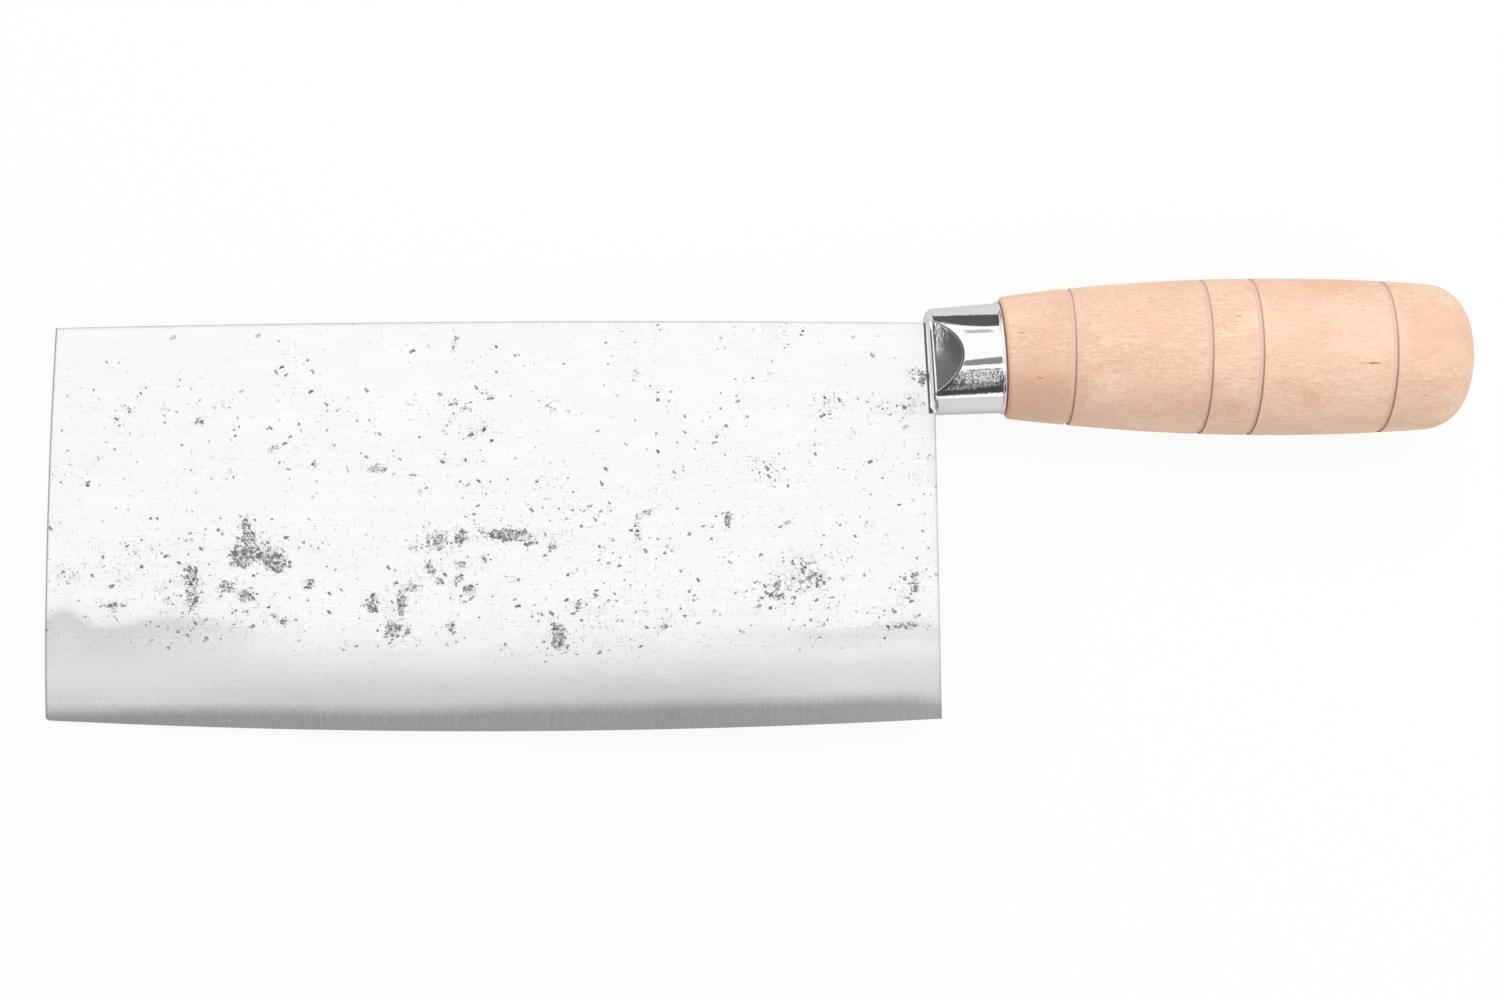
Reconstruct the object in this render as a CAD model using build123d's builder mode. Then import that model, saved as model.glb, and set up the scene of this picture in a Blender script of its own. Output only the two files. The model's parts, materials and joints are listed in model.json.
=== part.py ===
import os
from math import asin, atan2, cos, degrees, hypot, radians, sin, sqrt, tan

from build123d import *

os.makedirs("parts", exist_ok=True)

# The knife is drawn in its own axes: X from the blade's tip to the handle's butt, Y from
# the edge to the spine, Z out of the left face. X is zero at the heel's lower corner, Y is
# zero on the handle's axis and Z is zero in the middle of the blade's thickness.

# Blade, in millimetres
blade_length = 220.0  # along the foot of the blade, from tip to heel
blade_height = 100.6  # from the spine's crest to the edge at mid length
blade_thickness = 2.2
core_thickness = 0.9  # the hard middle layer
edge_thickness = 0.2  # the narrow flat left at the very edge
spine_rise = 8.7  # the spine's crest above the handle's axis
spine_drop_tip = 1.7  # how far the spine falls from its crest to the tip
spine_drop_heel = 0.4
tip_lean = 2.7  # the tip's top is this much nearer the handle than its foot
tip_bulge = 0.8  # how far the tip's edge bows out
heel_lean = 2.1  # the heel's top is this much nearer the tip than its foot
edge_sweep_tip = 2.7  # how far the edge rises from mid length to the tip
edge_sweep_heel = 3.1
bevel_width = 20.0  # from the edge to where the grinding starts, at mid length
bevel_width_ends = 22.5  # the same at the tip and at the heel
core_band_tip = 2.0  # how much of the core shows above the edge
core_band = 5.4
core_band_heel = 4.6
spine_crest_share = 0.7  # of the blade's length, from the tip

# Tang, the narrow tail of the blade inside the handle
tang_length = 84.0  # from the heel's lower corner
tang_root_height = 13.0
tang_end_height = 6.0
neck_relief = 0.1  # how much thinner each side is in the ferrule and along the tang

# Ferrule
ferrule_length = 18.3
ferrule_cover = 3.8  # how far its front stands over the blade, measured from the heel's foot
ferrule_rear_radius = 13.5
ferrule_narrowing = 0.5  # how much less its radius is at the front
ferrule_wall = 0.8
ferrule_front_round = 2.2
ferrule_rear_round = 0.6
ferrule_tilt = 3.5  # degrees, the front of the ferrule dips towards the edge
side_flat_length = 8.0  # from the ferrule's front, along its axis
side_flat_angle = 28.5  # degrees, between the flat and the ferrule's axis
side_flat_roll = 5.0  # degrees, both flats lie this much towards the spine

# Handle
handle_length = 113.2  # from the shoulder to the butt, on the axis
shoulder_step = 1.4  # how far the shoulder stands out round the ferrule
shoulder_drop = 0.25  # the shoulder's centre below the handle's axis
shoulder_round = 0.8
belly_rise = 4.3  # how far the belly stands out round the shoulder
belly_share = 0.583  # the fattest place, of the handle's length from the shoulder
butt_round = 9.6
groove_width = 1.2
groove_depth = 0.5
groove_place_shares = (0.138, 0.423, 0.529, 0.812)  # of the handle's length from the shoulder
bore_depth = 32.0  # the drilled bore, from the shoulder

# Clearances
fit_clearance = 0.1  # between pieces that fit in each other
seat_gap = 0.2  # between the ferrule's lip and the shoulder
overrun = 2.0  # how far a cut runs past what it cuts

ferrule_front_radius = ferrule_rear_radius - ferrule_narrowing
shoulder_radius = ferrule_rear_radius + shoulder_step
shoulder_place = ferrule_length + seat_gap - ferrule_cover
tenon_length = ferrule_length - side_flat_length  # it ends where the flats begin
belly_radius = shoulder_radius + belly_rise
belly_place = belly_share * handle_length
belly_x = shoulder_place + belly_place
half_thickness = blade_thickness / 2
half_neck = half_thickness - neck_relief
half_slot = half_neck + fit_clearance

# The knife lies on its right side: the tip's lower corner and the handle's belly touch the
# table, so the whole knife is pitched up towards the handle. The belly is one long arc.
belly_arc_radius = (belly_place**2 + belly_rise**2) / (2 * belly_rise)
belly_arc_x = blade_length + belly_x
belly_arc_z = belly_arc_radius - belly_radius + half_thickness
to_belly_arc = hypot(belly_arc_x, belly_arc_z)
pitch = asin(belly_arc_radius / to_belly_arc) - atan2(belly_arc_z, belly_arc_x)
butt_x = shoulder_place + handle_length
edge_y = spine_rise - blade_height
middle_x = (butt_x - blade_length) / 2
middle_y = (belly_radius + edge_y) / 2

knife_plane = Plane(
    origin=(
        -middle_x * cos(pitch),
        -middle_y,
        blade_length * sin(pitch) + half_thickness * cos(pitch),
    ),
    x_dir=(cos(pitch), 0, sin(pitch)),
    z_dir=(-sin(pitch), 0, cos(pitch)),
)


def knife_point(x, y, z=0):
    """A point of the knife's own axes in the frame of the whole part."""
    return knife_plane.from_local_coords(Vector(x, y, z))


def knife_direction(x, y, z=0):
    """A direction of the knife's own axes in the frame of the whole part."""
    return knife_point(x, y, z) - knife_plane.origin


# The ferrule and the shoulder that it seats on share an axis that is tilted in the blade's
# plane. Its X runs back along that axis from zero at the shoulder, Y to the spine.
tilt = radians(ferrule_tilt)
shoulder_centre = knife_point(shoulder_place, -shoulder_drop)
ferrule_plane = Plane(
    origin=shoulder_centre,
    x_dir=knife_direction(cos(tilt), sin(tilt)),
    z_dir=knife_plane.z_dir,
)
ferrule_side = Plane(
    origin=shoulder_centre,
    x_dir=ferrule_plane.x_dir,
    z_dir=-ferrule_plane.y_dir,
)
ferrule_axis = Axis(shoulder_centre, ferrule_plane.x_dir)
handle_axis = Axis(knife_point(0, 0), knife_plane.x_dir)
shoulder_plane = Plane(origin=shoulder_centre, z_dir=ferrule_plane.x_dir)
taper = (ferrule_rear_radius - ferrule_front_radius) / ferrule_length

# Corners of the blade
spine_crest = (-blade_length * (1 - spine_crest_share), spine_rise)
tip_top = (tip_lean - blade_length, spine_rise - spine_drop_tip)
heel_top = (-heel_lean, spine_rise - spine_drop_heel)
tip_foot = (-blade_length, edge_y + edge_sweep_tip)
heel_foot = (0, edge_y + edge_sweep_heel)
tip_middle = ((tip_top[0] + tip_foot[0]) / 2 - tip_bulge, (tip_top[1] + tip_foot[1]) / 2)
below_edge = edge_y - overrun

# Each level of the ground blade: its height above the middle plane, and the distance from
# the edge to its lower limit at the tip, at mid length and at the heel.
ground_levels = (
    (-half_thickness - overrun, bevel_width_ends, bevel_width, bevel_width_ends),
    (-half_thickness, bevel_width_ends, bevel_width, bevel_width_ends),
    (-core_thickness / 2, core_band_tip, core_band, core_band_heel),
    (-edge_thickness / 2, 0, 0, 0),
    (edge_thickness / 2, 0, 0, 0),
    (core_thickness / 2, core_band_tip, core_band, core_band_heel),
    (half_thickness, bevel_width_ends, bevel_width, bevel_width_ends),
    (half_thickness + overrun, bevel_width_ends, bevel_width, bevel_width_ends),
)

# The shape that the bevels leave: straight-sided above, and drawn in to the edge below
with BuildPart() as ground_shape:
    for height, at_tip, at_middle, at_heel in ground_levels:
        with BuildSketch(knife_plane.offset(height)):
            with BuildLine():
                low_tip = (-blade_length - overrun, tip_foot[1] + at_tip)
                low_middle = (-blade_length / 2, edge_y + at_middle)
                low_heel = (overrun, heel_foot[1] + at_heel)
                ThreePointArc(low_tip, low_middle, low_heel)
                Line(low_heel, (overrun, spine_rise + overrun))
                Line((overrun, spine_rise + overrun), (low_tip[0], spine_rise + overrun))
                Line((low_tip[0], spine_rise + overrun), low_tip)
            make_face()
    loft(ruled=True)


def tang_outline(plane, clearance=0):
    """The tang seen from the blade's left side, grown by a clearance."""
    root = tang_root_height / 2
    end = tang_end_height / 2
    with BuildSketch(plane) as outline:
        with BuildLine():
            Polyline(
                (-heel_lean - overrun, root),
                (0, root),
                (tang_length, end),
                (tang_length, -end),
                (0, -root),
                (-heel_lean - overrun, -root),
                close=True,
            )
        make_face()
        if clearance:
            offset(amount=clearance, kind=Kind.INTERSECTION)
    return outline.sketch


def blade_layer(low, high):
    """One layer of the blade and its tang, between two heights above the middle plane."""
    neck_front = -seat_gap - ferrule_length - fit_clearance
    neck_foot = -ferrule_rear_radius - fit_clearance
    with BuildPart() as layer:
        with BuildSketch(knife_plane.offset(low)):
            with BuildLine():
                ThreePointArc(tip_top, spine_crest, heel_top)
                Line(heel_top, heel_foot)
                Line(heel_foot, (0, below_edge))
                Line((0, below_edge), (-blade_length, below_edge))
                Line((-blade_length, below_edge), tip_foot)
                ThreePointArc(tip_foot, tip_middle, tip_top)
            make_face()
        extrude(amount=high - low)
        add(ground_shape.part, mode=Mode.INTERSECT)
        extrude(tang_outline(knife_plane.offset(low)), amount=high - low)
        # The neck and the tang are ground thinner from the ferrule's front on.
        for side in (1, -1):
            with BuildSketch(ferrule_plane.offset(side * half_neck)):
                with BuildLine():
                    Polyline(
                        (neck_front, neck_foot),
                        (tang_length, neck_foot),
                        (tang_length, -neck_foot),
                        (neck_front, -neck_foot),
                        close=True,
                    )
                make_face()
            extrude(amount=side * (neck_relief + overrun), mode=Mode.SUBTRACT)
    return layer.part


def ferrule_form(inset):
    """The ferrule's outside, or its hollow when everything is drawn in by the wall."""
    front = -seat_gap - ferrule_length + inset
    rear = -seat_gap + (overrun if inset else 0)
    front_radius = ferrule_front_radius - inset
    rear_radius = ferrule_rear_radius - inset
    # The flat's line in side view, drawn in square to itself by the inset
    flat_angle = radians(side_flat_angle)
    slope = tan(flat_angle)
    flat_end = side_flat_length - ferrule_length - seat_gap
    flat_end_height = ferrule_front_radius + taper * side_flat_length - inset / cos(flat_angle)
    far_front = front - overrun
    low = flat_end_height - (flat_end - far_front) * slope
    high = flat_end_height - flat_end * slope
    with BuildPart() as form:
        with BuildSketch(ferrule_plane):
            with BuildLine():
                Polyline(
                    (front, 0),
                    (front, front_radius),
                    (rear, rear_radius),
                    (rear, 0),
                    close=True,
                )
            make_face()
        revolve(axis=ferrule_axis)
        for side in (1, -1):
            with BuildSketch(ferrule_side.rotated((-side * side_flat_roll, 0, 0))):
                with BuildLine():
                    Polyline(
                        (far_front, side * low),
                        (0, side * high),
                        (far_front, side * high),
                        close=True,
                    )
                make_face()
            extrude(amount=ferrule_rear_radius, both=True, mode=Mode.SUBTRACT)
        front_face = form.faces().sort_by(ferrule_axis)[0]
        fillet(front_face.edges(), ferrule_front_round - inset)
    return form.part


ferrule_hollow = ferrule_form(ferrule_wall)

with BuildPart() as blade_core:
    add(blade_layer(-core_thickness / 2, core_thickness / 2))

with BuildPart() as cladding_left:
    add(blade_layer(core_thickness / 2, half_thickness))

with BuildPart() as cladding_right:
    add(blade_layer(-half_thickness, -core_thickness / 2))

# The slot in the ferrule's front wall takes the upper part of the blade's heel and the tang.
with BuildPart() as ferrule:
    add(ferrule_form(0))
    rear_face = ferrule.faces().sort_by(ferrule_axis)[-1]
    fillet(rear_face.edges(), ferrule_rear_round)
    add(ferrule_hollow, mode=Mode.SUBTRACT)
    slot_front = shoulder_place - ferrule_length - ferrule_rear_radius
    with BuildSketch(knife_plane):
        with BuildLine():
            Polyline(
                (slot_front, spine_rise + fit_clearance),
                (fit_clearance - heel_lean, spine_rise + fit_clearance),
                (fit_clearance, heel_foot[1]),
                (slot_front, heel_foot[1]),
                close=True,
            )
        make_face()
    extrude(amount=half_slot, both=True, mode=Mode.SUBTRACT)
    extrude(
        tang_outline(knife_plane, fit_clearance),
        amount=half_slot,
        both=True,
        mode=Mode.SUBTRACT,
    )


def belly_at(place):
    """The handle's radius at a place measured from the shoulder."""
    to_belly = place - belly_place
    return belly_radius - belly_arc_radius + sqrt(belly_arc_radius**2 - to_belly**2)


def bore_form():
    """The drilled bore for the tang's root, from ahead of the tenon to its end in the wood."""
    radius = tang_root_height / 2 + fit_clearance
    front = shoulder_place - tenon_length - overrun
    rear = shoulder_place + bore_depth
    with BuildPart() as bore:
        with BuildSketch(knife_plane):
            with BuildLine():
                Polyline((front, 0), (front, radius), (rear, radius), (rear, 0), close=True)
            make_face()
        revolve(axis=handle_axis)
    return bore.part


drilled_bore = bore_form()
tenon_rear_radius = ferrule_rear_radius - ferrule_wall - fit_clearance
tenon_front_radius = tenon_rear_radius - taper * tenon_length
groove_radius = (groove_width**2 / 4 + groove_depth**2) / (2 * groove_depth)

with BuildPart() as handle:
    # The turned body with its four grooves, cut off square to the ferrule's axis
    start = -shoulder_radius * tan(tilt) - overrun
    with BuildSketch(knife_plane):
        with BuildLine():
            front = (shoulder_place + start, belly_at(start))
            butt = (butt_x, belly_at(handle_length))
            Line((front[0], 0), front)
            ThreePointArc(front, (belly_x, belly_radius), butt)
            Line(butt, (butt_x, 0))
            Line((butt_x, 0), (front[0], 0))
        make_face()
        for share in groove_place_shares:
            place = share * handle_length
            groove_height = belly_at(place) + groove_radius - groove_depth
            with Locations((shoulder_place + place, groove_height)):
                Circle(groove_radius, mode=Mode.SUBTRACT)
    revolve(axis=handle_axis)
    butt_face = handle.faces().sort_by(handle_axis)[-1]
    fillet(butt_face.edges(), butt_round)
    split(bisect_by=shoulder_plane, keep=Keep.TOP)
    shoulder_face = handle.faces().sort_by(ferrule_axis)[0]
    fillet(shoulder_face.edges(), shoulder_round)

    # The tenon inside the ferrule
    with BuildSketch(ferrule_plane):
        with BuildLine():
            Polyline(
                (-tenon_length, 0),
                (-tenon_length, tenon_front_radius),
                (overrun, tenon_rear_radius),
                (overrun, 0),
                close=True,
            )
        make_face()
    revolve(axis=ferrule_axis)

    # The drilled bore, and the slot that the rest of the tang is burned into
    add(drilled_bore, mode=Mode.SUBTRACT)
    extrude(
        tang_outline(knife_plane, fit_clearance),
        amount=half_slot,
        both=True,
        mode=Mode.SUBTRACT,
    )

# The fill round the tang: in the ferrule ahead of the tenon, and in the bore
with BuildPart() as tang_resin:
    add(ferrule_hollow)
    split(bisect_by=shoulder_plane.offset(-tenon_length), keep=Keep.BOTTOM)
    add(drilled_bore)
    for layer in (blade_core, cladding_left, cladding_right):
        add(layer.part, mode=Mode.SUBTRACT)

pieces = {
    "blade_core": blade_core,
    "cladding_left": cladding_left,
    "cladding_right": cladding_right,
    "ferrule": ferrule,
    "handle": handle,
    "tang_resin": tang_resin,
}
for name, piece in pieces.items():
    piece.part.label = name
    export_step(piece.part, f"parts/{name}.step")

print("pitch", round(degrees(pitch), 3))
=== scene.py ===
import json
from math import asin, cos, exp, pi, radians, sin, sqrt, tan

import bmesh
import bpy
from mathutils import Matrix, Vector, noise


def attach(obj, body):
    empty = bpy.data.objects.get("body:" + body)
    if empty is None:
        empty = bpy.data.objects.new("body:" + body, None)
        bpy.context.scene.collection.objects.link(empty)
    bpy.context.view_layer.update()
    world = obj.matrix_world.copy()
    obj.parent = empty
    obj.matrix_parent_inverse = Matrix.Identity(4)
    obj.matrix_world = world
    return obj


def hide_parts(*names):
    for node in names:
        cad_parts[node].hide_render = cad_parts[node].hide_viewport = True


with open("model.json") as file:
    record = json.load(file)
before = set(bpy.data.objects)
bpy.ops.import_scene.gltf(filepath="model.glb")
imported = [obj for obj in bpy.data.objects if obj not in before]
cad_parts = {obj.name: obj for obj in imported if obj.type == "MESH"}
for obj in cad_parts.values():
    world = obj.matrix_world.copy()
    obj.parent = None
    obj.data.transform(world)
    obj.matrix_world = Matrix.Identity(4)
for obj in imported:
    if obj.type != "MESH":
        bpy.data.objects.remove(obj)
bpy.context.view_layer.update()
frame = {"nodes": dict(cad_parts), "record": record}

# Lengths are in millimetres in the knife's own axes: X from the blade's tip to the handle's
# butt, Y from the edge to the spine, Z out of the left face. X is zero at the heel's lower
# corner, Y on the handle's axis and Z in the middle of the blade's thickness.
MM = 0.001

# Blade
blade_length = 220.0
blade_thickness = 2.2
core_thickness = 0.9
edge_thickness = 0.06
edge_y = -91.9  # the lowest point of the edge
tip_top = (-217.3, 7.0)
tip_middle = (-219.45, -41.1)
tip_foot = (-220.0, -89.2)
heel_top = (-2.1, 8.3)
heel_foot = (0.0, -88.8)
spine_crest = (-66.0, 8.7)
tip_foot_round = 0.9
bevel_width = 20.0
bevel_width_ends = 22.3
bevel_bow = 1.6  # 1 is a flat bevel, more bows it out
arris_tip = 0.5
arris_heel = 0.4
arris_spine = 0.25
rim_shade_reach = 0.75  # how far the painted shade along the outline reaches in
rim_shade_shares = (1.0, 0.5, 0.35)  # how dark it is at the tip, the heel and the spine
contact_shadow_reach = 0.34  # how wide the painted contact shadow in front of the ferrule is
contact_shadow_full_share = 0.6  # of that reach, where the painted shadow is at its darkest
tang_length = 84.0
tang_root_height = 13.0
tang_end_height = 6.0
neck_relief = 0.1
face_mount_place = (-110.0, -30.0)

# The small waves of hand work: how fast they run along X and Y, where they start in the
# noise, and how high they are
bevel_wave = (0.035, 0.0, (0.0, 4.0, 0.0), 0.5)
core_wave = (0.11, 0.0, (0.0, 1.0, 0.0), 0.16)
satin_wave = (0.4, 0.3, (0.0, 0.0, 9.0), 0.35)

# How much of the core shows above the edge, at places along the blade
core_band_points = (
    (-220, 2.4), (-206, 3.4), (-194, 4.2), (-180, 4.8), (-157, 5.2), (-133, 5.2), (-108, 6.1),
    (-84, 6.4), (-59, 6.6), (-35, 6.3), (-10, 6.1), (-3, 4.9), (0, 4.2),
)

# The steel's screen grey at heights above the edge, at the few heights where the finish changes. It
# is partly the satin finish and partly painted reflection of the tilted bevel: the bevel is darkest
# by the core and fades into the polished flat. Near the tip and the heel it has a lighter crest, a
# darker foot of its upper border, and a crisp border, in painted reflection.
tip_satin_and_reflection = ((5, 219), (12, 231), (23, 216), (24.5, 218), (25.7, 243), (32, 252))
middle_satin_and_reflection = ((5, 209), (8.5, 213), (17, 238), (26, 250), (35, 253))
heel_satin_and_reflection = (
    (5, 218), (9, 231), (14, 237), (18, 245), (23.4, 233), (24.6, 237), (26, 250), (31, 253),
)
core_tones = ((-220, 155), (-150, 160), (-60, 163), (-25, 170), (0, 176))
satin_border = 25.0  # where the tables above have the satin's upper border

# The height above the edge of that border along the blade
satin_points = (
    (-220, 24.6), (-217.8, 26.4), (-215.3, 27.2), (-212.8, 26.6), (-210.4, 24.8), (-207.9, 23.7),
    (-203, 23.8), (-195, 25.6), (-188, 26.4), (-180, 26.1), (-171, 25.3), (-165, 23.8), (-150, 25),
    (-60, 25), (-25, 22.8), (-17, 23.4), (-8.7, 24.6), (-4, 24.1), (0, 21.5),
)
tip_tone_reach = (-150.0, -205.0)  # where the tip's tones start to show, and where they are full
heel_tone_reach = (-62.0, -20.0)
full_tone = 255.0
screen_power = 2.2

# Ferrule
ferrule_length = 18.3
ferrule_rear_radius = 13.5
ferrule_narrowing = 0.5
ferrule_wall = 0.8
ferrule_front_round = 2.2
flat_front_round_share = 0.72  # how much of that round the flats keep
ferrule_tilt = radians(3.5)
side_flat_length = 8.0
side_flat_angle = radians(28.5)
side_flat_roll = radians(5.0)
side_flat_crease = 0.12
side_flat_ease = 0.055  # how much less the flat slopes at its front end, by the spine
spine_side_turn = 1.6  # how quickly the edge side turns into the spine side, round the wall
flat_side_start = 0.3  # how far towards the sides the front round starts to narrow
least_facing = 0.01  # keeps the flats' height finite where the wall faces away from them
bead_radius = 0.5
bead_sink = 0.12
slot_clearance = 0.05

# Handle
handle_length = 113.2
shoulder_place = 14.7
shoulder_drop = 0.25
shoulder_radius = 14.9
shoulder_round = 1.0
belly_radius = 19.18
belly_share = 0.583
butt_round = 9.6
butt_crown = 0.25
groove_width = 1.2
groove_depth = 0.5
groove_place_shares = (0.138, 0.423, 0.529, 0.812)
groove_grid_reach = 0.9  # how far the finer rings reach on either side of a groove

# A groove's pale band, partly burnished and partly painted light, and the brown line of painted
# shade in it, in half widths of the groove
band_reach = 1.35
band_blur = 0.4
line_place = 0.85
line_reach = 0.5

tenon_radius = 12.6
bore_radius = 6.6
bore_depth = 32.0
seat_gap = 0.2
tilt_fade = 14.0  # how far back the rings turn square to the handle

half_thickness = blade_thickness / 2
half_core = core_thickness / 2
half_edge = edge_thickness / 2
half_slot = half_thickness + slot_clearance
belly_place = belly_share * handle_length
belly_rise = belly_radius - shoulder_radius
belly_arc_radius = (belly_place**2 + belly_rise**2) / (2 * belly_rise)
groove_radius = (groove_width**2 / 4 + groove_depth**2) / (2 * groove_depth)
ferrule_rear = -seat_gap
ferrule_front = ferrule_rear - ferrule_length
taper = ferrule_narrowing / ferrule_length
flat_end = ferrule_front + side_flat_length
tenon_length = ferrule_length - side_flat_length
flat_end_height = ferrule_rear_radius - ferrule_narrowing + taper * side_flat_length


def knife_axes():
    """The matrix that takes the knife's own axes to the frame, in metres."""
    mounts = {mount["name"]: mount for mount in frame["record"]["mounts"]}
    face = mounts["blade_face_left"]
    normal = Vector(face["axis"])
    along = Vector((normal.z, 0, -normal.x))
    up = Vector((0, 1, 0))
    place = along * face_mount_place[0] + up * face_mount_place[1] + normal * half_thickness
    origin = Vector(face["pos_m"]) - place * MM
    turn = Matrix((along, up, normal)).transposed()
    return Matrix.Translation(origin) @ turn.to_4x4()


KNIFE = knife_axes()


def in_frame(x, y, z=0.0):
    """A point of the knife's own axes, in metres in the frame."""
    return KNIFE @ (Vector((x, y, z)) * MM)


def linear(value):
    """A screen value of 0 to 255 as the linear value that shaders take."""
    return (value / full_tone) ** screen_power


def srgb(*values):
    """A colour from three screen values."""
    return tuple(linear(value) for value in values) + (1.0,)


def smooth(share):
    """0 to 1 with soft ends."""
    share = min(max(share, 0.0), 1.0)
    return share * share * (3 - 2 * share)


def share_between(value, start, end):
    """0 at the start and 1 at the end, with soft ends."""
    return smooth((value - start) / (end - start))


def wave_at(wave, x, y=0.0):
    """The height of a wave of hand work at a place."""
    rate_x, rate_y, start, height = wave
    return height * noise.noise(Vector((x * rate_x, y * rate_y, 0.0)) + Vector(start))


def value_at(points, place):
    """A smooth curve through (place, value) points."""
    place = min(max(place, points[0][0]), points[-1][0])
    index = 0
    while place > points[index + 1][0]:
        index += 1
    before = points[max(index - 1, 0)]
    first = points[index]
    second = points[index + 1]
    after = points[min(index + 2, len(points) - 1)]
    span = second[0] - first[0]
    share = (place - first[0]) / span
    start_slope = (second[1] - before[1]) / (second[0] - before[0]) * span
    end_slope = (after[1] - first[1]) / (after[0] - first[0]) * span
    bend = 2 * (first[1] - second[1]) + start_slope + end_slope
    turn = 3 * (second[1] - first[1]) - 2 * start_slope - end_slope
    return first[1] + share * (start_slope + share * (turn + share * bend))


def arc_through(first, middle, last):
    """A function that gives the second coordinate of the arc through three points."""
    (ax, ay), (bx, by), (cx, cy) = first, middle, last
    size_a = ax * ax + ay * ay
    size_b = bx * bx + by * by
    size_c = cx * cx + cy * cy
    double_area = 2 * (ax * (by - cy) + bx * (cy - ay) + cx * (ay - by))
    centre_x = (size_a * (by - cy) + size_b * (cy - ay) + size_c * (ay - by)) / double_area
    centre_y = (size_a * (cx - bx) + size_b * (ax - cx) + size_c * (bx - ax)) / double_area
    radius = sqrt((ax - centre_x) ** 2 + (ay - centre_y) ** 2)
    side = 1 if by > centre_y else -1
    return lambda place: centre_y + side * sqrt(max(radius**2 - (place - centre_x) ** 2, 0.0))


edge_at = arc_through(tip_foot, (-blade_length / 2, edge_y), heel_foot)
spine_at = arc_through(tip_top, spine_crest, heel_top)
tip_arc = arc_through(tip_foot[::-1], tip_middle[::-1], tip_top[::-1])


def tip_at(y):
    """Where the tip's edge is at a height, with the small round at its foot."""
    above_foot = min(max(y - tip_foot[1], 0.0), tip_foot_round)
    reach = tip_foot_round - above_foot
    return tip_arc(y) + tip_foot_round - sqrt(tip_foot_round**2 - reach**2)


def heel_at(y):
    """Where the heel's straight edge is at a height."""
    share = (y - heel_foot[1]) / (heel_top[1] - heel_foot[1])
    return heel_foot[0] + (heel_top[0] - heel_foot[0]) * share


def bevel_width_at(x):
    """How wide the bevel is, widest at the two ends, with the small waves of hand grinding."""
    from_middle = abs(x + blade_length / 2) / (blade_length / 2)
    width = bevel_width + (bevel_width_ends - bevel_width) * from_middle**2
    return width + wave_at(bevel_wave, x)


def core_band_at(x):
    """How much of the core shows above the edge, with the small waves of the weld line."""
    return value_at(core_band_points, x) + wave_at(core_wave, x)


def satin_and_reflection_at(x, y):
    """How light the steel is at a place on the blade, as a linear grey: its satin finish and the
    bevel's painted reflection.
    """
    above = y - edge_at(x)
    lift = value_at(satin_points, x) - satin_border + wave_at(satin_wave, x, y)
    above -= lift * share_between(above, satin_border / 2, satin_border)
    tone = value_at(middle_satin_and_reflection, above)
    tone += share_between(x, *tip_tone_reach) * (value_at(tip_satin_and_reflection, above) - tone)
    tone += share_between(x, *heel_tone_reach) * (value_at(heel_satin_and_reflection, above) - tone)
    return linear(tone)


def rim_shade_at(x, y):
    """How near a place is to the blade's rounded outline, for its painted shade, from 0 to 1."""
    to_outline = (x - tip_at(y), heel_at(y) - x, spine_at(x) - y)
    near = [1 - smooth(distance / rim_shade_reach) for distance in to_outline]
    return max(full * share for full, share in zip(rim_shade_shares, near))


def arris_drop(to_outline, size):
    """How far a rounded arris falls at a distance from the outline."""
    if to_outline >= size:
        return 0.0
    return size - sqrt(size**2 - (size - max(to_outline, 0.0)) ** 2)


def blade_surface(x, y, at_heel):
    """The height of the blade's ground surface above its middle plane."""
    share = min((y - edge_at(x)) / bevel_width_at(x), 1.0)
    rise = 1 - (1 - max(share, 0.0)) ** bevel_bow
    height = half_edge + (half_thickness - half_edge) * rise
    drop = arris_drop(x - tip_at(y), arris_tip) + arris_drop(spine_at(x) - y, arris_spine)
    if at_heel:
        drop += arris_drop(heel_at(y) - x, arris_heel)
    return height - min(drop, half_thickness - half_core) * height / half_thickness


def layer_border(x, y, at_heel):
    """The height of the face between the core and the cladding."""
    surface = blade_surface(x, y, at_heel)
    above_core = y - edge_at(x) - core_band_at(x)
    if above_core <= 0.0:
        return surface
    start = blade_surface(x, edge_at(x) + core_band_at(x), at_heel)
    border = start + (half_core - start) * smooth(above_core / core_thickness)
    return min(border, surface - half_edge)
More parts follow.
